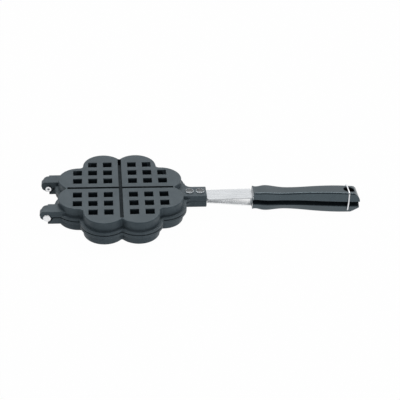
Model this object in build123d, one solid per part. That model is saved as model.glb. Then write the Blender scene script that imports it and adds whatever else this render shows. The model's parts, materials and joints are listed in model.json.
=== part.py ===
from build123d import *
import math
import os

# Stovetop waffle iron, millimetres. The plates lie level, +X points along the handle, and the origin
# is the centre of the lower plate's outer face. Heights of a half are counted from the parting plane.

# Plate castings
lobe_radius = 27.2            # one of the eight lobes of the outer face
lobe_far = 54.6               # a lobe's centre along its nearer axis
lobe_near = 22.0              # and across it
heart_cusp_fillet = 5.0       # notch in the middle of a heart
axis_cusp_fillet = 1.5        # notch between two hearts
least_cusp_fillet = 1.0
plate_depth = 16.7            # outer face to the parting plane
parting_gap = 1.4             # left between the closed flanges and between the hinge lugs
contact_gap = 0.3             # left between the closed ears and between the handle halves
face_height = 12.0            # outer face to the ledge
flange_width = 4.5
face_edge_radius = 1.4
flange_edge_radius = 0.8
wall_thickness = 3.0
floor_thickness = 5.5

# Pattern of the outer face and the mould inside
cell_pitch = 20.0
first_cell = 16.4             # first row of pockets from the centre line
cells_per_side = 3
pocket_width = 12.0
pocket_floor_width = 9.6
pocket_depth = 10.0
peg_root_width = 15.4
peg_tip_width = 12.6
peg_drop = 3.0                # tips below the parting plane
groove_half_length = 69.5
groove_along_width = 3.5      # the groove along X
groove_across_width = 4.5     # the groove along Y
groove_depth = 7.0
ridge_root_width = 8.4
ridge_crest_width = 5.0
ridge_drop = 1.0

# Ear, strap and rivets
ear_end = 114.0
ear_half_width = 11.2
ear_height = 8.6
ear_fillet = 8.0
ear_edge_radius = 1.0
strap_half_width = 11.2
strap_thickness = 1.6
strap_seat = 3.3              # height of the strap's outer face in the ear
strap_start = 84.5
strap_spread_end = 172.0      # the straps part from the ear's end to here
strap_handle_height = 6.6     # height of the outer face inside the handle
strap_end_from_end = 22.0     # from the handle's end back to the strap's
tang_half_width = 7.4
shoulder_gap = 1.0            # from the ear or handle to the wide part of the strap
strap_corner_radius = 2.0
fit_gap = 0.1
rivet_places = (91.5, 105.6)
rivet_head_diameter = 11.8
rivet_head_height = 1.6
rivet_rim_height = 0.7
rivet_bevel_width = 1.2
rivet_dish_radius = 4.4
rivet_dish_depth = 0.5
rivet_shank_diameter = 5.0
rivet_tail_diameter = 7.6
rivet_tail_height = 0.9

# Hinge
hinge_x = -95.4
stack_offset = 34.6           # from the middle of the iron to that of each pair of knuckles
stack_width = 17.8
knuckle_gap = 0.3
lower_knuckle_radius = 7.8
upper_knuckle_radius = 5.6
lower_scoop_radius = 7.2      # in the lower root block, round the upper knuckle
upper_scoop_radius = 8.3
knuckle_crown = 4.6           # the flat top ends this far beyond the axis
lug_height = 9.3
heel_reach = 9.2
heel_height = 3.1
heel_bulge = 1.2
root_setback = 0.8            # the root block starts this far inside the axis
pin_diameter = 5.0
pin_running_gap = 0.05
pin_head_diameter = 10.4
pin_head_height = 2.0
pin_dome_radius = 1.6
pin_flare_diameter = 7.8
pin_flare_height = 2.2
pin_flare_radius = 0.3
pin_hollow_diameter = 3.5
pin_hollow_depth = 5.0
pin_head_gap = 0.1

# Handle, measured along its own axis, which droops from the ear's end
handle_droop = 2.08           # degrees
handle_start = 176.0
handle_length = 145.0
groove_lip_height = 3.9
parting_half_width = 7.0
# Sizes of one half at even steps from its start to its end
handle_half_widths = (12.6, 13.0, 13.1, 12.2, 11.8, 11.8, 12.3, 12.9, 13.3, 13.5, 13.5, 13.2)
handle_flats = (10.2, 10.45, 10.2, 8.6, 8.05, 8.3, 8.85, 9.35, 9.85, 10.25, 10.4, 10.4)
handle_heights = (13.2, 13.6, 13.35, 12.45, 12.75, 13.5, 14.4, 15.1, 15.5, 15.5, 15.1, 14.7)
top_corner_radius = 3.0
lip_corner_radius = 0.7
inner_corner_radius = 0.4
start_rounding = 2.0
end_rounding = 10.8
end_chamfer_length = 11.0
end_chamfer_height = 9.0
hanging_hole_from_end = 14.1
hanging_hole_length = 15.4
hanging_hole_width = 11.0
handle_pin_from_end = 25.7
handle_pin_diameter = 2.6
handle_pin_sink = 0.6

# Bail
bail_wire = 2.0
bail_inner_half_width = 14.2
bail_pivot_from_end = 15.7
bail_pivot_height = 8.3       # below the handle's axis
bail_rise = 25.4              # pivot to the middle of the crossbar
bail_corner_radius = 6.0
bail_foot_radius = 2.0
bail_foot_depth = 3.0         # how far the wire's ends reach into the handle's side
bail_running_gap = 0.1

overrun = 2.0                 # how far cutting tools run past the material

parting = Plane.XY.offset(plate_depth)
flange_rim = parting_gap / 2
rim_height = contact_gap / 2
handle_end = handle_start + handle_length
strap_end = handle_end - strap_end_from_end
bend_x = ear_end + shoulder_gap
handle_frame = Plane(Location((bend_x, 0, plate_depth), (0, handle_droop, 0)))


def box_between(low, high):
    size = Vector(*high) - Vector(*low)
    return Pos(*low) * Box(size.X, size.Y, size.Z, align=(Align.MIN, Align.MIN, Align.MIN))


def rod_along_y(radius, start, end):
    return Plane.XZ.offset(-start) * extrude(Circle(radius), -(end - start))


def lower_side(x, height):
    """A point of the lower half's side view, from its height under the parting plane."""
    return Vector(x, 0, plate_depth - height)


def clover(outset):
    """The outline of the outer face moved outward: eight lobes with filleted cusps."""
    radius = lobe_radius + outset
    centres = []
    for quarter in range(4):
        for x, y in ((lobe_far, lobe_near), (lobe_near, lobe_far)):
            centres.append(Vector(x, y).rotate(Axis.Z, 90 * quarter))
    cusps = []
    for index, centre in enumerate(centres):
        following = centres[(index + 1) % len(centres)]
        wanted = heart_cusp_fillet if index % 2 == 0 else axis_cusp_fillet
        small = max(wanted - outset, least_cusp_fillet)
        middle = (centre + following) / 2
        reach = math.sqrt((radius + small) ** 2 - (following - middle).length ** 2)
        cusps.append((middle + middle.normalized() * reach, small))
    ends = []
    for index, centre in enumerate(centres):
        before = (cusps[index - 1][0] - centre).normalized() * radius
        after = (cusps[index][0] - centre).normalized() * radius
        ends.append((centre + before, centre + (before + after).normalized() * radius, centre + after))
    edges = []
    for index, (start, tip, end) in enumerate(ends):
        cusp, small = cusps[index]
        edges.append(ThreePointArc(start, tip, end))
        edges.append(ThreePointArc(end, cusp - cusp.normalized() * small, ends[(index + 1) % len(ends)][0]))
    return Face(Wire(edges))


def ear_flare():
    """The flange's outline flows into the ear's sides in a fillet on each side."""
    radius = lobe_radius + flange_width
    centre = Vector(lobe_far, lobe_near)
    across = lobe_near - ear_half_width - ear_fillet
    along = math.sqrt((radius + ear_fillet) ** 2 - across ** 2)
    pivot = Vector(lobe_far + along, ear_half_width + ear_fillet)
    on_lobe = centre + (pivot - centre).normalized() * radius
    on_ear = pivot - Vector(0, ear_fillet)
    between = pivot + ((on_lobe - pivot) + (on_ear - pivot)).normalized() * ear_fillet
    inner = Vector(lobe_far, ear_half_width)
    patch = Face(Wire([
        ThreePointArc(on_lobe, between, on_ear),
        Line(on_ear, inner),
        Line(inner, on_lobe),
    ]))
    return [patch, patch.mirror(Plane.XZ)]


def cell_places():
    """Centres of the square cells: each quarter leaves out the one in its outer corner."""
    steps = [first_cell + cell_pitch * index for index in range(cells_per_side)]
    places = []
    for x in steps:
        for y in steps:
            if x == steps[-1] and y == steps[-1]:
                continue
            places += [(x, y), (-x, y), (x, -y), (-x, -y)]
    return places


def tapered_block(width, end_width, length):
    angle = math.degrees(math.atan((width - end_width) / 2 / length))
    return extrude(Rectangle(width, width), length, taper=angle)


def ridge(half_length):
    """The wall that parts two hearts, along X, with sloping sides."""
    root = ridge_root_width / 2
    crest = ridge_crest_width / 2
    top = plate_depth - ridge_drop
    section = Plane.YZ * make_face(Polyline(
        (-root, floor_thickness), (-crest, top), (crest, top), (root, floor_thickness), close=True))
    return extrude(section, half_length, both=True)


def knuckle(radius, start, end):
    """A lug around the hinge axis with its heel, as the lower plate has it, between two Y places."""
    heel = Vector(-heel_reach, heel_height)
    turn = math.degrees(math.acos(radius / heel.length))
    touch = heel.normalized().rotate(Axis.Z, turn) * radius
    crown = Vector(-knuckle_crown, lug_height)
    bulge = (heel + crown) / 2 + Vector(-heel_bulge, heel_bulge)
    shelf = Vector(math.sqrt(radius ** 2 - flange_rim ** 2), flange_rim)
    root = -hinge_x - lobe_far
    points = [Vector(root, flange_rim), Vector(root, lug_height), crown, bulge, heel, touch,
              Vector(0, -radius), shelf]
    root_low, root_high, crown, bulge, heel, touch, bottom, shelf = [
        lower_side(hinge_x + point.X, point.Y) for point in points]
    outline = Wire([
        Line(root_low, root_high),
        Line(root_high, crown),
        ThreePointArc(crown, bulge, heel),
        Line(heel, touch),
        ThreePointArc(touch, bottom, shelf),
        Line(shelf, root_low),
    ])
    return Pos(0, end, 0) * extrude(Face(outline), end - start, dir=(0, -1, 0))


def hinge_stacks(side):
    """Root blocks and knuckles of one plate, whose knuckles take the +Y or -Y part of each stack."""
    knuckle_radius = lower_knuckle_radius if side > 0 else upper_knuckle_radius
    scoop_radius = lower_scoop_radius if side > 0 else upper_scoop_radius
    solids = []
    for middle in (-stack_offset, stack_offset):
        low = middle - stack_width / 2
        high = middle + stack_width / 2
        block = box_between(
            (hinge_x + root_setback, low, plate_depth - lug_height),
            (-lobe_far, high, plate_depth - flange_rim))
        other_end = middle - side * (stack_width / 2 + overrun)
        own_end = middle + side * knuckle_gap / 2
        reach = sorted((other_end, own_end))
        scoop = Pos(hinge_x, 0, plate_depth) * rod_along_y(scoop_radius, *reach)
        solids.append(block - scoop)
        outer_end = middle + side * stack_width / 2
        solids.append(knuckle(knuckle_radius, *sorted((own_end, outer_end))))
    return solids


def casting(side):
    """One plate as the lower half has it, outer face down."""
    face = extrude(clover(0), face_height + flange_edge_radius)
    face = fillet(face.faces().sort_by(Axis.Z)[0].edges(), face_edge_radius)
    flange = extrude(clover(flange_width), plate_depth - flange_rim - face_height)
    flange = fillet(flange.faces().sort_by(Axis.Z)[0].edges(), flange_edge_radius)
    body = face + Pos(0, 0, face_height) * flange
    for patch in ear_flare():
        body += Pos(0, 0, face_height) * extrude(patch, plate_depth - flange_rim - face_height)
    ear = box_between(
        (lobe_far, -ear_half_width, plate_depth - ear_height),
        (ear_end, ear_half_width, plate_depth - rim_height))
    ear = fillet(ear.edges().group_by(Axis.X)[-1].filter_by(Axis.Z) + ear.edges().group_by(Axis.X)[-1].filter_by(
        Axis.Y).sort_by(Axis.Z)[:1], ear_edge_radius)
    body += ear
    for solid in hinge_stacks(side):
        body += solid
    hollow = Pos(0, 0, floor_thickness) * extrude(clover(-wall_thickness), plate_depth)
    body -= hollow
    ridges = ridge(groove_half_length)
    body += ridges + Rot(0, 0, 90) * ridges
    peg_height = plate_depth - peg_drop - floor_thickness
    peg = Pos(0, 0, floor_thickness) * tapered_block(peg_root_width, peg_tip_width, peg_height)
    pocket = tapered_block(pocket_width, pocket_floor_width, pocket_depth)
    body += [Pos(x, y, 0) * peg for x, y in cell_places()]
    body -= [Pos(x, y, 0) * pocket for x, y in cell_places()]
    body -= Pos(0, 0, groove_depth / 2) * Box(2 * groove_half_length, groove_along_width, groove_depth)
    body -= Pos(0, 0, groove_depth / 2) * Box(groove_across_width, 2 * groove_half_length, groove_depth)
    channel = box_between(
        (strap_start - fit_gap, -tang_half_width - fit_gap, plate_depth - strap_seat),
        (ear_end + overrun, tang_half_width + fit_gap, plate_depth))
    body -= channel
    for x in rivet_places:
        body -= Pos(x, 0, plate_depth - ear_height / 2) * Cylinder(rivet_shank_diameter / 2, ear_height + overrun)
    return body


def plate(side):
    """A casting with its pin bores: side +1 is the lower plate, which grips the pins, and -1 the upper."""
    body = casting(side)
    gap = 0 if side > 0 else pin_running_gap
    for middle in (-stack_offset, stack_offset):
        body -= Pos(hinge_x, 0, plate_depth) * rod_along_y(
            pin_diameter / 2 + gap, middle - stack_width, middle + stack_width)
    if side > 0:
        return body
    return body.mirror(parting)


def hinge_pin(head_side, middle):
    """A pin with its domed head on one end of a knuckle stack and its hollow end flared on the other."""
    head = middle + head_side * (stack_width / 2 + pin_head_gap)
    tail = middle - head_side * (stack_width / 2 + pin_head_gap)
    top = head + head_side * pin_head_height
    dome = rod_along_y(pin_head_diameter / 2, *sorted((head, top)))
    crown = dome.edges().filter_by(GeomType.CIRCLE).sort_by(Axis.Y)[-1 if head_side > 0 else 0]
    dome = fillet(crown, pin_dome_radius)
    shank = rod_along_y(pin_diameter / 2, *sorted((head, tail)))
    flare = rod_along_y(pin_flare_diameter / 2, *sorted((tail, tail - head_side * pin_flare_height)))
    flare = fillet(flare.edges().filter_by(GeomType.CIRCLE), pin_flare_radius)
    hollow_start = tail - head_side * (pin_flare_height + overrun)
    hollow_end = tail + head_side * pin_hollow_depth
    hollow = rod_along_y(pin_hollow_diameter / 2, *sorted((hollow_start, hollow_end)))
    return Pos(hinge_x, 0, plate_depth) * (shank + dome + flare - hollow)


def strap_plan(spare):
    """The strap from above: narrow tangs in the ear and in the handle, wide between them."""
    wide_start = bend_x
    wide_end = handle_start - shoulder_gap
    tang = Pos((strap_start + strap_end) / 2, 0) * Rectangle(
        strap_end - strap_start + 2 * spare, 2 * (tang_half_width + spare))
    wide = Pos((wide_start + wide_end) / 2, 0) * RectangleRounded(
        wide_end - wide_start, 2 * strap_half_width, strap_corner_radius)
    if spare > 0:
        return tang
    return tang + wide


def half_strap(direction, spare=0):
    """A strap: direction -1 below the parting plane, +1 above. Both follow the drooping handle axis."""
    droop = math.tan(math.radians(handle_droop))
    inner = strap_thickness + 2 * spare
    stations = [
        (strap_start - spare, strap_seat),
        (bend_x, strap_seat),
        (strap_spread_end, strap_handle_height),
        (strap_end + spare, strap_handle_height),
    ]

    def place(x, height):
        drop = droop * max(x - bend_x, 0)
        return Vector(x, 0, plate_depth - drop + direction * height)

    outer = [place(x, height + spare) for x, height in stations]
    inside = [place(x, height + spare - inner) for x, height in reversed(stations)]
    side_view = make_face(Polyline(*outer, *inside, close=True))
    blank = extrude(side_view, strap_half_width + overrun, both=True)
    depth = 2 * (strap_end + plate_depth)
    return blank & extrude(strap_plan(spare), depth, both=True)


def strap(direction):
    body = half_strap(direction)
    for x in rivet_places:
        body -= Pos(x, 0, plate_depth) * Cylinder(rivet_shank_diameter / 2, 2 * ear_height)
    return body - handle_pin_rod(direction)


def rivets(direction):
    """Both rivets of one ear: a low dished head outside, a shank and a flat tail under the strap."""
    under_strap = strap_seat - strap_thickness
    head = Pos(0, 0, ear_height + rivet_head_height / 2) * Cylinder(rivet_head_diameter / 2, rivet_head_height)
    rim = head.edges().filter_by(GeomType.CIRCLE).sort_by(Axis.Z)[-1]
    head = chamfer(rim, rivet_head_height - rivet_rim_height, rivet_bevel_width)
    ball = rivet_dish_radius ** 2 / (2 * rivet_dish_depth) + rivet_dish_depth / 2
    head -= Pos(0, 0, ear_height + rivet_head_height - rivet_dish_depth + ball) * Sphere(ball)
    shank = Pos(0, 0, (under_strap + ear_height) / 2) * Cylinder(
        rivet_shank_diameter / 2, ear_height - under_strap)
    tail = Pos(0, 0, under_strap - rivet_tail_height / 2) * Cylinder(rivet_tail_diameter / 2, rivet_tail_height)
    rivet = head + shank + tail
    if direction < 0:
        rivet = rivet.mirror(Plane.XY)
    return Compound(children=[Pos(x, 0, plate_depth) * rivet for x in rivet_places])


def handle_section(along, half_width, flat, height):
    """The outline of one handle half at a station, square to the handle's axis."""
    points = [
        (-parting_half_width, rim_height), (-half_width, groove_lip_height), (-flat, height),
        (flat, height), (half_width, groove_lip_height), (parting_half_width, rim_height)]
    radii = [inner_corner_radius, lip_corner_radius, top_corner_radius,
             top_corner_radius, lip_corner_radius, inner_corner_radius]
    station = Plane(origin=(along, 0, 0), x_dir=(0, 1, 0), z_dir=(1, 0, 0))
    return station * make_face(FilletPolyline(*points, radius=radii, close=True))


def handle_sections():
    steps = len(handle_heights) - 1
    sizes = zip(handle_half_widths, handle_flats, handle_heights)
    return [handle_section(handle_start - bend_x + index / steps * handle_length, *size)
            for index, size in enumerate(sizes)]


def corner_tool(x, height, radius, direction):
    """What lies outside a rounded corner at the top of a handle half, at its start or its end."""
    reach = radius + overrun
    block = Pos(x + direction * (overrun - reach / 2), 0, height + overrun - reach / 2) * Box(
        reach, 2 * strap_half_width + 2 * overrun, reach)
    core = Pos(x - direction * radius, 0, height - radius) * rod_along_y(
        radius, -strap_half_width - 2 * overrun, strap_half_width + 2 * overrun)
    return block - core


def half_handle(direction):
    """A handle half in the handle's frame: +1 is the upper half, with the rounded end."""
    start = handle_start - bend_x
    end = handle_end - bend_x
    end_height = handle_heights[-1]
    cut_height = max(handle_heights) + overrun
    body = loft(handle_sections())
    body -= corner_tool(start, handle_heights[0], start_rounding, -1)
    if direction > 0:
        body -= corner_tool(end, end_height, end_rounding, 1)
    else:
        cut = Plane.XZ * make_face(Polyline(
            (end - end_chamfer_length, end_height), (end - end_chamfer_length, cut_height),
            (end + overrun, cut_height), (end + overrun, end_height - end_chamfer_height),
            (end, end_height - end_chamfer_height), close=True))
        body -= extrude(cut, max(handle_half_widths) + overrun, both=True)
    hole = SlotOverall(hanging_hole_length, hanging_hole_width)
    body -= Pos(end - hanging_hole_from_end, 0) * extrude(hole, cut_height)
    if direction < 0:
        body = body.mirror(Plane.XY)
        body -= bail_bore()
    body = handle_frame * body
    return body - half_strap(direction, fit_gap) - handle_pin_rod(direction)


def handle_pin_rod(direction):
    """The pin through a handle half and its tang, from near the outer face to the parting plane."""
    outer = handle_heights[-3] - handle_pin_sink
    length = outer - rim_height
    middle = (outer + rim_height) / 2
    rod = Pos(handle_end - bend_x - handle_pin_from_end, 0, direction * middle) * Cylinder(
        handle_pin_diameter / 2, length)
    return handle_frame * rod


def bail_bore():
    """The holes in the lower half's sides that the bail's feet turn in."""
    foot = bail_inner_half_width + bail_wire
    shape = rod_along_y(bail_wire / 2 + bail_running_gap, -foot, foot)
    keep = 2 * (bail_foot_inner() - bail_running_gap)
    shape -= Box(4 * bail_wire, keep, 4 * bail_wire)
    return Pos(*bail_pivot()) * shape


def bail_pivot():
    return Vector(handle_end - bend_x - bail_pivot_from_end, 0, -bail_pivot_height)


def bail_foot_inner():
    """How far from the middle plane the wire's ends stop, inside the handle's side."""
    lip, flat, height = handle_half_widths[-2], handle_flats[-2], handle_heights[-2]
    surface = lip + (flat - lip) * (bail_pivot_height - groove_lip_height) / (height - groove_lip_height)
    return surface - bail_foot_depth


def bail():
    """A wire loop: feet in the lower half, legs up both sides, crossbar over the upper half."""
    side = bail_inner_half_width + bail_wire / 2
    inner = bail_foot_inner()
    points = [(inner, 0), (side, 0), (side, bail_rise), (-side, bail_rise), (-side, 0), (-inner, 0)]
    radii = [bail_foot_radius, bail_corner_radius, bail_corner_radius, bail_foot_radius]
    loop_plane = Plane(origin=(0, 0, 0), x_dir=(0, 1, 0), z_dir=(1, 0, 0))
    path = loop_plane * FilletPolyline(*points, radius=radii)
    section = Plane(origin=(0, inner, 0), x_dir=(1, 0, 0), z_dir=(0, 1, 0)) * Circle(bail_wire / 2)
    return handle_frame * (Pos(*bail_pivot()) * sweep(section, path=path))


os.makedirs("parts", exist_ok=True)
nodes = {
    "lower_plate": plate(1),
    "upper_plate": plate(-1),
    "front_hinge_pin": hinge_pin(-1, -stack_offset),
    "rear_hinge_pin": hinge_pin(1, stack_offset),
    "lower_strap": strap(-1),
    "upper_strap": strap(1),
    "lower_rivets": rivets(-1),
    "upper_rivets": rivets(1),
    "lower_handle": half_handle(-1),
    "upper_handle": half_handle(1),
    "lower_handle_pin": handle_pin_rod(-1),
    "upper_handle_pin": handle_pin_rod(1),
    "bail": bail(),
}
for name, shape in nodes.items():
    export_step(shape, f"parts/{name}.step")
    print(name, round(shape.volume), "mm3")
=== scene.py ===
import json
import math

import bmesh
import bpy
from mathutils import Matrix, Quaternion, Vector


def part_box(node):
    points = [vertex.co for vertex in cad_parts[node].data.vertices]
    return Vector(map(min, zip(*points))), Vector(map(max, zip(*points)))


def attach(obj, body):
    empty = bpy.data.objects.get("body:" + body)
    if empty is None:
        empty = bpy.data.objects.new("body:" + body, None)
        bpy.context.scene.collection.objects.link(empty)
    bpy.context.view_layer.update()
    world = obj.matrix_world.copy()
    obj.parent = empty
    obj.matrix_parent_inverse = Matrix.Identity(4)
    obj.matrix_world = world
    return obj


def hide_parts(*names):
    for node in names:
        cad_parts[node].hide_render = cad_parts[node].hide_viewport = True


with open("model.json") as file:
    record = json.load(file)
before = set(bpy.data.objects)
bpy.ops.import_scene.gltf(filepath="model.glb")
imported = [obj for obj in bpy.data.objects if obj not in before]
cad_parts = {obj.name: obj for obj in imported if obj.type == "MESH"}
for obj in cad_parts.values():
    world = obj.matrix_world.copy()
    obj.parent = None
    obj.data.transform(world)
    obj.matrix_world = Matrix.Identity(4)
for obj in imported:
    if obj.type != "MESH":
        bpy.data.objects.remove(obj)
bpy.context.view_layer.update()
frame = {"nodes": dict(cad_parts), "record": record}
mm = 0.001

photoView = {
    "focalLength": 98.45,            # millimetres, on a 36 mm sensor
    "sensorWidth": 36,
    "position": (-33.0 * mm, -1208.0 * mm, 825.6 * mm),
    "turn": 6.567,                   # degrees, the iron turned counterclockwise
    "height": 33.805,                # degrees above the plates
    "roll": -2.745,                  # degrees
}


def link(thing):
    bpy.context.scene.collection.objects.link(thing)
    return thing


def addCamera():
    turn = Matrix.Rotation(math.radians(photoView["turn"]), 3, "Z")
    tilt = Matrix.Rotation(math.radians(photoView["height"] - 90), 3, "X")
    roll = Matrix.Rotation(math.radians(photoView["roll"]), 3, "Z")
    facing = (roll @ tilt @ turn).transposed().to_4x4()
    data = bpy.data.cameras.new("photoCamera")
    data.sensor_width = photoView["sensorWidth"]
    data.lens = photoView["focalLength"]
    camera = link(bpy.data.objects.new("photoCamera", data))
    camera.matrix_world = Matrix.Translation(photoView["position"]) @ facing
    bpy.context.scene.camera = camera


# Short ways to build node trees

def addNode(tree, kind, inputs=None, **settings):
    node = tree.nodes.new(kind)
    for name, value in settings.items():
        setattr(node, name, value)
    for name, value in (inputs or {}).items():
        if isinstance(value, bpy.types.NodeSocket):
            tree.links.new(value, node.inputs[name])
        else:
            node.inputs[name].default_value = value
    return node


def calc(tree, operation, first, second=0.0, third=0.0):
    node = addNode(tree, "ShaderNodeMath", {0: first, 1: second, 2: third}, operation=operation)
    return node.outputs[0]


def product(tree, first, *others):
    for other in others:
        first = calc(tree, "MULTIPLY", first, other)
    return first


def distance(tree, value, place):
    return calc(tree, "ABSOLUTE", calc(tree, "SUBTRACT", value, place))


def between(tree, value, low, high, start=0.0, end=1.0):
    node = addNode(tree, "ShaderNodeMapRange", {
        "Value": value, "From Min": low, "From Max": high, "To Min": start, "To Max": end},
        interpolation_type="SMOOTHSTEP")
    return node.outputs["Result"]


# 1 up to an edge and 0 past it, with a soft step of the given width
def upTo(tree, value, edge, fade):
    return between(tree, value, edge, edge + fade, 1.0, 0.0)


def split(tree, where):
    return addNode(tree, "ShaderNodeSeparateXYZ", {"Vector": where}).outputs


def blendColors(tree, share, first, second):
    node = addNode(tree, "ShaderNodeMix", {"Factor": share}, data_type="RGBA")
    for socket, color in ((node.inputs[6], first), (node.inputs[7], second)):
        if isinstance(color, bpy.types.NodeSocket):
            tree.links.new(color, socket)
        else:
            socket.default_value = (*color, 1)
    return node.outputs[2]


# 1 for rays from the camera or a mirroring surface, and 1 for those straight from the camera
def seenDirectly(tree):
    path = addNode(tree, "ShaderNodeLightPath").outputs
    mirrored = calc(tree, "MAXIMUM", path["Is Glossy Ray"], path["Is Transmission Ray"])
    return calc(tree, "MAXIMUM", path["Is Camera Ray"], mirrored), path["Is Camera Ray"]


studio = {
    "skyLevel": 0.40,                # soft light from all round, on matt surfaces
    "darkSide": 0.10,                # the dark room over the camera, as a share of the sky
    "mattDark": 0.25,                # share of that darkness on matt surfaces
    "backEdge": (98, 108),           # degrees from the back horizon, up and over, where it begins
    "frontEdge": (146, 160),         # and where it ends above the front horizon
    "floorColor": (0.74, 0.74, 0.74, 1),
    "floorGlow": 0.985,              # share of the floor that is plain background to the camera
    "floorMirrored": 0.9,            # and in reflections
    "floorSize": 8.0,
    "floorGap": 0.4 * mm,            # between the iron and the floor
    "aim": (0.1, 0, 0),              # where all the boxes point
}
boxes = {
    "backBox": {
        "size": (1.6, 0.26), "place": (0.1, 0.72, 1.32), "power": 8.0, "onMatt": True, "inMirrors": True},
    "glossBox": {                    # more of the back box, for reflections only
        "size": (1.6, 0.26), "place": (0.1, 0.72, 1.32), "power": 18.0, "onMatt": False, "inMirrors": True},
    "sideBox": {
        "size": (0.5, 0.9), "place": (-1.3, -0.3, 1.3), "power": 3.0, "onMatt": True, "inMirrors": True},
    "fillBox": {                     # low, for the matt sides that face the camera
        "size": (0.6, 0.2), "place": (0.75, -0.85, 0.16), "power": 3.4, "onMatt": True, "inMirrors": False},
}


def addWorld():
    world = bpy.data.worlds.new("studioAir")
    world.use_nodes = True
    bpy.context.scene.world = world
    tree = world.node_tree
    direction = split(tree, addNode(tree, "ShaderNodeTexCoord").outputs["Generated"])
    over = calc(tree, "ARCTAN2", direction["Z"], direction["Y"])
    back, front = [[math.radians(edge) for edge in studio[side]] for side in ("backEdge", "frontEdge")]
    direct, camera = seenDirectly(tree)
    dark = product(tree, between(tree, over, *back), between(tree, over, *front, 1.0, 0.0),
                   between(tree, direct, 0.0, 1.0, studio["mattDark"], 1.0))
    room = between(tree, dark, 0.0, 1.0, 1.0, studio["darkSide"])
    level = between(tree, direct, 0.0, 1.0, studio["skyLevel"], 1.0)
    strength = calc(tree, "MAXIMUM", product(tree, room, level), camera)
    background = tree.nodes["Background"]
    background.inputs["Color"].default_value = (1, 1, 1, 1)
    tree.links.new(strength, background.inputs["Strength"])


def addBox(name, box):
    lamp = bpy.data.lights.new(name, "AREA")
    lamp.shape = "RECTANGLE"
    lamp.size, lamp.size_y = box["size"]
    lamp.energy = box["power"]
    holder = link(bpy.data.objects.new(name, lamp))
    turn = (Vector(studio["aim"]) - Vector(box["place"])).to_track_quat("-Z", "Y")
    holder.matrix_world = Matrix.Translation(box["place"]) @ turn.to_matrix().to_4x4()
    holder.visible_diffuse = box["onMatt"]
    holder.visible_glossy = box["inMirrors"]


# The iron rests on the left edge of its lower plate and on the end of its handle
def addFloor():
    half = studio["floorSize"] / 2
    mesh = bpy.data.meshes.new("paleFloor")
    corners = [(-half, -half, 0), (half, -half, 0), (half, half, 0), (-half, half, 0)]
    mesh.from_pydata(corners, [], [(0, 1, 2, 3)])
    floor = link(bpy.data.objects.new("paleFloor", mesh))
    plate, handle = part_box("lower_plate"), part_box("lower_handle")
    run = handle[1].x - plate[0].x
    floor.rotation_euler = (0, math.atan((plate[0].z - handle[0].z) / run), 0)
    floor.location = (plate[0].x, 0, plate[0].z - studio["floorGap"])
    material = bpy.data.materials.new("paleFloor")
    material.use_nodes = True
    tree = material.node_tree
    tree.nodes.clear()
    direct, camera = seenDirectly(tree)
    share = calc(tree, "MAXIMUM", product(tree, camera, studio["floorGlow"]),
                 product(tree, calc(tree, "SUBTRACT", direct, camera), studio["floorMirrored"]))
    matt = addNode(tree, "ShaderNodeBsdfDiffuse", {"Color": studio["floorColor"]})
    glow = addNode(tree, "ShaderNodeEmission")
    mix = addNode(tree, "ShaderNodeMixShader", {0: share, 1: matt.outputs[0], 2: glow.outputs[0]})
    addNode(tree, "ShaderNodeOutputMaterial", {"Surface": mix.outputs[0]})
    mesh.materials.append(material)


# Finishes

noiseRange = (0.3, 0.7)              # where nearly all values of a noise lie
casting = {
    "color": (0.045, 0.060, 0.071), "worn": (0.057, 0.074, 0.086),
    # painted shade: a near-black colour in the pockets and grooves
    "paintedRecessShade": (0.009, 0.014, 0.018), "recessRoughness": 0.3,
    "roughness": (0.38, 0.50), "specular": 0.30, "tint": (0.78, 0.93, 1.0),
    "grain": 0.7 * mm, "grainDepth": 0.035 * mm,
    "patch": 22 * mm, "patchRange": (0.35, 0.65),
    "middle": 16.7 * mm,                                    # height of the parting plane
    "pocketStart": 6.2 * mm, "pocketStartFade": 0.2 * mm,   # from the parting plane
    "faceSide": 16.3 * mm, "faceFade": 1.5 * mm,
    "firstCell": 16.4 * mm, "pitch": 20 * mm, "pocketHalf": 6.05 * mm, "pocketFade": 0.05 * mm,
    "lastEdge": 62.6 * mm, "cornerReach": 100 * mm,         # no pocket in the outer corner cell
    "grooveHalf": {"X": 2.35 * mm, "Y": 2.1 * mm},          # wider than the grooves, for a painted shade border along their edges
    "grooveLength": 69.6 * mm, "grooveFade": 0.1 * mm,
    "seamShade": 0.96, "seamHeight": (3.2 * mm, 6.4 * mm),  # painted shade, slightly darker near the seam
}
plastic = {
    "color": (0.016, 0.024, 0.032), "haze": (0.024, 0.034, 0.043),
    "tint": (0.74, 0.92, 1.0), "roughness": (0.03, 0.06), "specular": 1.0,
    "ripple": 12 * mm, "rippleDepth": 0.02 * mm,
    "patch": 14 * mm, "patchStretch": 3.0, "patchRange": (0.4, 0.7),
    "paintedShade": (0.014, 0.019, 0.024), "shadeRoughness": 0.35, "shadeMetal": 0.7,    # painted shade for the dark recesses
    "axisPlace": (115 * mm, 0, 16.7 * mm), "droop": 2.08,   # the handle's own axis
    "grooveHeight": 3.7 * mm, "grooveFade": 0.4 * mm,
    "holePlace": 191.9 * mm, "holeHalf": (7.9 * mm, 5.6 * mm), "holeTop": 14.2 * mm,
}
rolledSteel = {
    "color": (0.52, 0.535, 0.55), "streak": (0.495, 0.51, 0.525), "roughness": (0.24, 0.30),
    "grain": 1.2 * mm, "stretch": 40.0, "grainDepth": 0.001 * mm,
    "patch": 18 * mm, "patchRange": (0.35, 0.7),
}
plating = {
    "color": (0.86, 0.87, 0.885), "streak": (0.74, 0.75, 0.77), "roughness": (0.16, 0.28),
    "grain": 0.8 * mm, "stretch": 1.0, "grainDepth": 0.008 * mm,
    "patch": 5 * mm, "patchRange": (0.35, 0.7),
}
wire = dict(plating, color=(0.80, 0.82, 0.845), roughness=(0.20, 0.30), patch=9 * mm)
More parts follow.
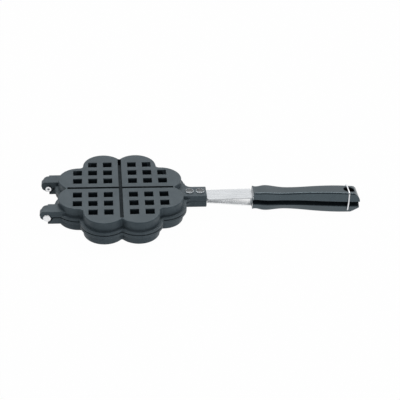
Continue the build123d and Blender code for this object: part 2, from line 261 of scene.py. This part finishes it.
# The lower strap is lit only past the upper one, so its steel is painted paler: painted light that makes up
# for its shade
lowerSteelPaintedLight = dict(rolledSteel, color=(0.90, 0.905, 0.91), streak=(0.86, 0.865, 0.87))
dullSteel = dict(rolledSteel, color=(0.030, 0.033, 0.036), streak=(0.012, 0.013, 0.014),
                 stretch=1.0, patch=2 * mm)


def newFinish(name):
    material = bpy.data.materials.new(name)
    material.use_nodes = True
    tree = material.node_tree
    where = addNode(tree, "ShaderNodeTexCoord").outputs["Object"]
    return material, tree, tree.nodes["Principled BSDF"], where


def noise(tree, where, size, detail=3.0, stretch=1.0):
    if stretch != 1.0:
        scaling = {"Vector": where, "Scale": (1 / stretch, 1, 1)}
        where = addNode(tree, "ShaderNodeMapping", scaling).outputs[0]
    settings = {"Vector": where, "Scale": 1 / size, "Detail": detail}
    return addNode(tree, "ShaderNodeTexNoise", settings).outputs["Fac"]


def addBump(tree, shader, height, depth):
    bump = addNode(tree, "ShaderNodeBump", {"Height": height, "Distance": depth})
    tree.links.new(bump.outputs["Normal"], shader.inputs["Normal"])


# 1 inside the pockets and the crossing grooves of both outer faces, where shade is painted dark into the
# colour
def paintedRecessShadeMask(tree, where):
    axes = split(tree, where)
    fromMiddle = distance(tree, axes["Z"], casting["middle"])
    start = casting["pocketStart"]
    overSeam = between(tree, fromMiddle, start - casting["pocketStartFade"], start)
    underFace = upTo(tree, fromMiddle, casting["faceSide"] - casting["faceFade"], casting["faceFade"])
    reach = {axis: calc(tree, "ABSOLUTE", axes[axis]) for axis in "XY"}
    half = casting["pitch"] / 2
    offsets = []
    for axis in "XY":
        shifted = calc(tree, "ADD", reach[axis], half - casting["firstCell"] + casting["pitch"])
        offsets.append(distance(tree, calc(tree, "MODULO", shifted, casting["pitch"]), half))
    inCell = upTo(tree, calc(tree, "MAXIMUM", *offsets), casting["pocketHalf"], casting["pocketFade"])
    farther, both = [calc(tree, way, reach["X"], reach["Y"]) for way in ("MAXIMUM", "ADD")]
    pocket = product(tree, calc(tree, "LESS_THAN", farther, casting["lastEdge"]),
                     calc(tree, "LESS_THAN", both, casting["cornerReach"]), inCell, underFace)
    grooves = [
        product(tree, upTo(tree, reach[across], casting["grooveHalf"][across], casting["grooveFade"]),
                upTo(tree, reach[along], casting["grooveLength"], casting["grooveFade"]))
        for across, along in ("XY", "YX")]
    hollow = calc(tree, "MAXIMUM", pocket, calc(tree, "MAXIMUM", *grooves))
    return product(tree, hollow, overSeam)


def castingFinish(name):
    material, tree, shader, where = newFinish(name)
    patch = between(tree, noise(tree, where, casting["patch"], 4.0), *casting["patchRange"])
    color = blendColors(tree, patch, casting["color"], casting["worn"])
    # painted shade near the seam between the plates
    fromMiddle = distance(tree, split(tree, where)["Z"], casting["middle"])
    paintedSeamShade = between(tree, fromMiddle, *casting["seamHeight"], casting["seamShade"], 1.0)
    color = addNode(tree, "ShaderNodeMix", {"Factor": 1.0, 6: color, 7: paintedSeamShade}, data_type="RGBA",
                    blend_type="MULTIPLY").outputs[2]
    # painted shade: the pockets and grooves get a near-black colour
    recessShade = paintedRecessShadeMask(tree, where)
    color = blendColors(tree, recessShade, color, casting["paintedRecessShade"])
    rough = between(tree, noise(tree, where, casting["patch"] / 3), *noiseRange, *casting["roughness"])
    rough = calc(tree, "MULTIPLY_ADD", recessShade, casting["recessRoughness"], rough)
    tree.links.new(color, shader.inputs["Base Color"])
    tree.links.new(rough, shader.inputs["Roughness"])
    shader.inputs["Specular IOR Level"].default_value = casting["specular"]
    shader.inputs["Specular Tint"].default_value = (*casting["tint"], 1)
    addBump(tree, shader, noise(tree, where, casting["grain"], 2.0), casting["grainDepth"])
    return material


# 1 in the V-groove between the handle halves and in the hanging hole, where dark shade is painted into the
# colour
def paintedHandleShadeMask(tree, where):
    turn = (0, math.radians(plastic["droop"]), 0)
    turned = addNode(tree, "ShaderNodeMapping", {
        "Vector": where, "Location": plastic["axisPlace"], "Rotation": turn}, vector_type="TEXTURE")
    axes = split(tree, turned.outputs[0])
    height = calc(tree, "ABSOLUTE", axes["Z"])
    groove = upTo(tree, height, plastic["grooveHeight"] - plastic["grooveFade"], plastic["grooveFade"])
    reaches = (distance(tree, axes["X"], plastic["holePlace"]), calc(tree, "ABSOLUTE", axes["Y"]), height)
    ends = (*plastic["holeHalf"], plastic["holeTop"])
    hole = product(tree, *[calc(tree, "LESS_THAN", reach, end) for reach, end in zip(reaches, ends)])
    return calc(tree, "MAXIMUM", groove, hole)


def plasticFinish(name):
    material, tree, shader, where = newFinish(name)
    patch = noise(tree, where, plastic["patch"], 4.0, plastic["patchStretch"])
    patch = between(tree, patch, *plastic["patchRange"])
    # painted shade in the handle's groove and hole
    paintedShade = paintedHandleShadeMask(tree, where)
    color = blendColors(tree, patch, plastic["color"], plastic["haze"])
    color = blendColors(tree, paintedShade, color, plastic["paintedShade"])
    rough = between(tree, patch, 0.0, 1.0, *plastic["roughness"])
    rough = calc(tree, "MULTIPLY_ADD", paintedShade, plastic["shadeRoughness"], rough)
    tree.links.new(color, shader.inputs["Base Color"])
    tree.links.new(rough, shader.inputs["Roughness"])
    tree.links.new(product(tree, paintedShade, plastic["shadeMetal"]), shader.inputs["Metallic"])
    shader.inputs["Specular IOR Level"].default_value = plastic["specular"]
    shader.inputs["Specular Tint"].default_value = (*plastic["tint"], 1)
    addBump(tree, shader, noise(tree, where, plastic["ripple"], 1.0), plastic["rippleDepth"])
    return material


def metalFinish(name, look):
    material, tree, shader, where = newFinish(name)
    streaks = noise(tree, where, look["grain"], 3.0, look["stretch"])
    patch = between(tree, noise(tree, where, look["patch"], 3.0), *look["patchRange"])
    tree.links.new(blendColors(tree, patch, look["color"], look["streak"]), shader.inputs["Base Color"])
    tree.links.new(between(tree, streaks, *noiseRange, *look["roughness"]), shader.inputs["Roughness"])
    shader.inputs["Metallic"].default_value = 1.0
    addBump(tree, shader, streaks, look["grainDepth"])
    return material


rivet = {
    "places": (91.5 * mm, 105.6 * mm),
    "profile": (                     # radius and height over the parting plane, from the tail outward
        (0.0, 0.8), (3.5, 0.8), (3.8, 1.1), (3.8, 1.7), (2.5, 1.7), (2.5, 8.6),
        (5.7, 8.6), (5.87, 8.75), (5.9, 9.1), (5.82, 9.5), (5.55, 9.9), (5.25, 10.1), (4.95, 10.15),
        (4.65, 10.0), (4.35, 9.7), (4.05, 9.62), (3.5, 9.76), (2.7, 9.98), (1.8, 10.1), (0.9, 10.17),
        (0.0, 10.19)),
    "segments": 56,
    # rim: worn bare metal, and a painted highlight on the raised rim
    "rim": (0.34, 0.37, 0.39), "rimRadius": (4.75 * mm, 5.1 * mm), "rimHeight": 8.9 * mm,
    "coat": (0.045, 0.058, 0.067),
    # painted shade in the dish inside the rim
    "groove": (0.004, 0.005, 0.006), "grooveStart": (3.7 * mm, 4.2 * mm), "grooveEnd": (4.6 * mm, 4.9 * mm),
    "wear": 1.6 * mm, "wearReach": 0.8 * mm, "wearDepth": 0.01 * mm,    # the edge of the rim's worn metal and painted highlight wanders
    "roughness": (0.22, 0.32), "specular": 0.7,
}


def rivetFinish(name):
    material, tree, shader, where = newFinish(name)
    axes = split(tree, where)
    middle = sum(rivet["places"]) / 2
    along = calc(tree, "SUBTRACT", distance(tree, axes["X"], middle), rivet["places"][1] - middle)
    squares = calc(tree, "ADD", product(tree, along, along), product(tree, axes["Y"], axes["Y"]))
    radius = calc(tree, "SQRT", squares)
    height = distance(tree, axes["Z"], casting["middle"])
    wear = noise(tree, where, rivet["wear"], 3.0)
    edge = calc(tree, "MULTIPLY_ADD", calc(tree, "SUBTRACT", wear, 0.5), rivet["wearReach"], radius)
    # worn bare metal on the rim, which also stands in as a painted highlight
    rim = product(tree, between(tree, edge, *rivet["rimRadius"]),
                  calc(tree, "GREATER_THAN", height, rivet["rimHeight"]))
    # painted shade in the dish inside the rim
    paintedRingShade = product(tree, between(tree, radius, *rivet["grooveStart"]),
                   between(tree, radius, *rivet["grooveEnd"], 1.0, 0.0))
    color = blendColors(tree, paintedRingShade, rivet["coat"], rivet["groove"])
    tree.links.new(blendColors(tree, rim, color, rivet["rim"]), shader.inputs["Base Color"])
    tree.links.new(rim, shader.inputs["Metallic"])
    tree.links.new(between(tree, wear, *noiseRange, *rivet["roughness"]), shader.inputs["Roughness"])
    shader.inputs["Specular IOR Level"].default_value = rivet["specular"]
    addBump(tree, shader, wear, rivet["wearDepth"])
    return material


finishes = {
    "coated_casting": castingFinish("castCoating"),
    "coated_rivet": rivetFinish("rivetCoating"),
    "handle_plastic": plasticFinish("handlePlastic"),
    "strap_steel": metalFinish("strapSteel", rolledSteel),
    "hinge_steel": metalFinish("hingePlating", plating),
    "bail_wire": metalFinish("bailWire", wire),
    "dark_pin": metalFinish("sunkPin", dullSteel),
}
# the lower strap's paler steel is painted light
ownFinishes = {"lower_strap": metalFinish("lowerStrapSteelPaintedLight", lowerSteelPaintedLight)}


def dressNodes():
    slots = {part["node"]: part["material_slot"] for part in frame["record"]["subparts"]}
    for name, piece in frame["nodes"].items():
        piece.data.materials.clear()
        piece.data.materials.append(ownFinishes.get(name, finishes[slots[name]]))


def finalMesh(thing):
    return bpy.data.meshes.new_from_object(thing.evaluated_get(bpy.context.evaluated_depsgraph_get()))


# Rivets of the ears: one head profile, set along the ear by Geometry Nodes

def rivetTemplate(name, direction):
    mesh = bpy.data.meshes.new(name)
    work = bmesh.new()
    turns = [2 * math.pi * step / rivet["segments"] for step in range(rivet["segments"])]
    rings = []
    for radius, height in rivet["profile"]:
        z = casting["middle"] + direction * height * mm
        if radius == 0:
            rings.append([work.verts.new((0, 0, z))])
        else:
            around = [(radius * mm * math.cos(turn), radius * mm * math.sin(turn), z) for turn in turns]
            rings.append([work.verts.new(place) for place in around])
    for inner, outer in zip(rings, rings[1:]):
        for step in range(rivet["segments"]):
            after = (step + 1) % rivet["segments"]
            if len(inner) == 1:
                work.faces.new((inner[0], outer[step], outer[after]))
            elif len(outer) == 1:
                work.faces.new((inner[step], outer[0], inner[after]))
            else:
                work.faces.new((inner[step], outer[step], outer[after], inner[after]))
    bmesh.ops.recalc_face_normals(work, faces=work.faces)
    for face in work.faces:
        face.smooth = True
    work.to_mesh(mesh)
    work.free()
    return bpy.data.objects.new(name, mesh)


def rivetRow():
    tree = bpy.data.node_groups.new("rivetRow", "GeometryNodeTree")
    kinds = {
        "Rivet": "Object", "First place": "Float", "Spacing": "Float", "Count": "Int", "Finish": "Material"}
    for name, kind in kinds.items():
        tree.interface.new_socket(name, in_out="INPUT", socket_type="NodeSocket" + kind)
    tree.interface.new_socket("Geometry", in_out="OUTPUT", socket_type="NodeSocketGeometry")
    given = addNode(tree, "NodeGroupInput").outputs
    start = addNode(tree, "ShaderNodeCombineXYZ", {"X": given["First place"]})
    step = addNode(tree, "ShaderNodeCombineXYZ", {"X": given["Spacing"]})
    line = addNode(tree, "GeometryNodeMeshLine", {
        "Count": given["Count"], "Start Location": start.outputs[0], "Offset": step.outputs[0]})
    shape = addNode(tree, "GeometryNodeObjectInfo", {"Object": given["Rivet"]})
    row = addNode(tree, "GeometryNodeInstanceOnPoints", {
        "Points": line.outputs[0], "Instance": shape.outputs["Geometry"]})
    real = addNode(tree, "GeometryNodeRealizeInstances", {"Geometry": row.outputs[0]})
    dressed = addNode(tree, "GeometryNodeSetMaterial", {
        "Geometry": real.outputs[0], "Material": given["Finish"]})
    addNode(tree, "NodeGroupOutput", {"Geometry": dressed.outputs[0]})
    return tree


def addRivets(tree, name, direction, node, body):
    template = rivetTemplate(name + "Shape", direction)
    holder = link(bpy.data.objects.new(name, bpy.data.meshes.new(name)))
    modifier = holder.modifiers.new("row", "NODES")
    modifier.node_group = tree
    first, second = rivet["places"]
    values = {
        "Rivet": template, "First place": first, "Spacing": second - first, "Count": len(rivet["places"]),
        "Finish": finishes["coated_rivet"]}
    for socket in tree.interface.items_tree:
        if socket.name in values:
            modifier[socket.identifier] = values[socket.name]
    made = finalMesh(holder)
    holder.modifiers.remove(modifier)
    holder.data = made
    bpy.data.objects.remove(template)
    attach(holder, body)
    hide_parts(node)


# The wire bail: feet in the lower half's bores, legs that follow the handle's sides, a crossbar on its top

bailLoop = {
    "pivot": (304.873 * mm, 0, 1.499 * mm),
    "wire": 2.0 * mm,
    "bends": (                       # half width, height over the pivot, bend radius
        (10.4, 0, 0), (15.2, 0, 2.0), (15.2, 10.5, 8.0), (11.3, 24.65, 2.95)),
    "bendSteps": 10, "roundSteps": 5,
}


def roundedLine(points, radii):
    line = [points[0]]
    for before, corner, after, radius in zip(points, points[1:], points[2:], radii[1:]):
        toBefore, toAfter = (before - corner).normalized(), (after - corner).normalized()
        half = toBefore.angle(toAfter) / 2
        middle = corner + (toBefore + toAfter).normalized() * radius / math.sin(half)
        first, last = [corner + way * radius / math.tan(half) - middle for way in (toBefore, toAfter)]
        turn = first.rotation_difference(last)
        for step in range(bailLoop["bendSteps"] + 1):
            part = Quaternion(turn.axis, turn.angle * step / bailLoop["bendSteps"])
            line.append(middle + part @ first)
    return line + [points[-1]]


# One half of the loop, on the +Y side for side 1 and on the -Y side for side -1
def bailHalf(side):
    droop = math.radians(plastic["droop"])
    up = Vector((math.sin(droop), 0, math.cos(droop)))
    across = Vector((0, side, 0))
    return [Vector(bailLoop["pivot"]) + across * width * mm + up * height * mm
            for width, height, radius in bailLoop["bends"]]


def addBail():
    radii = [radius * mm for width, height, radius in bailLoop["bends"]]
    line = roundedLine(bailHalf(1) + bailHalf(-1)[::-1], radii + radii[::-1])
    curve = bpy.data.curves.new("wireBail", "CURVE")
    curve.dimensions = "3D"
    curve.bevel_depth = bailLoop["wire"] / 2
    curve.bevel_resolution = bailLoop["roundSteps"]
    curve.use_fill_caps = True
    spline = curve.splines.new("POLY")
    spline.points.add(len(line) - 1)
    for point, place in zip(spline.points, line):
        point.co = (*place, 1)
    drawn = link(bpy.data.objects.new("wireBailLine", curve))
    mesh = finalMesh(drawn)
    bpy.data.objects.remove(drawn)
    for face in mesh.polygons:
        face.use_smooth = len(face.vertices) == 4
    mesh.materials.clear()
    mesh.materials.append(finishes["bail_wire"])
    bail = link(bpy.data.objects.new("wireBail", mesh))
    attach(bail, "bail")
    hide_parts("bail")


bpy.context.scene.view_settings.view_transform = "Standard"
addCamera()
addWorld()
for boxName, boxLook in boxes.items():
    addBox(boxName, boxLook)
addFloor()
print("camera, light and floor are up")
dressNodes()
print("cast, plastic and steel finishes are on")
row = rivetRow()
addRivets(row, "upperEarRivets", 1, "upper_rivets", "upper_half")
addRivets(row, "lowerEarRivets", -1, "lower_rivets", "lower_half")
print("rivets are set")
addBail()
print("bail is bent")
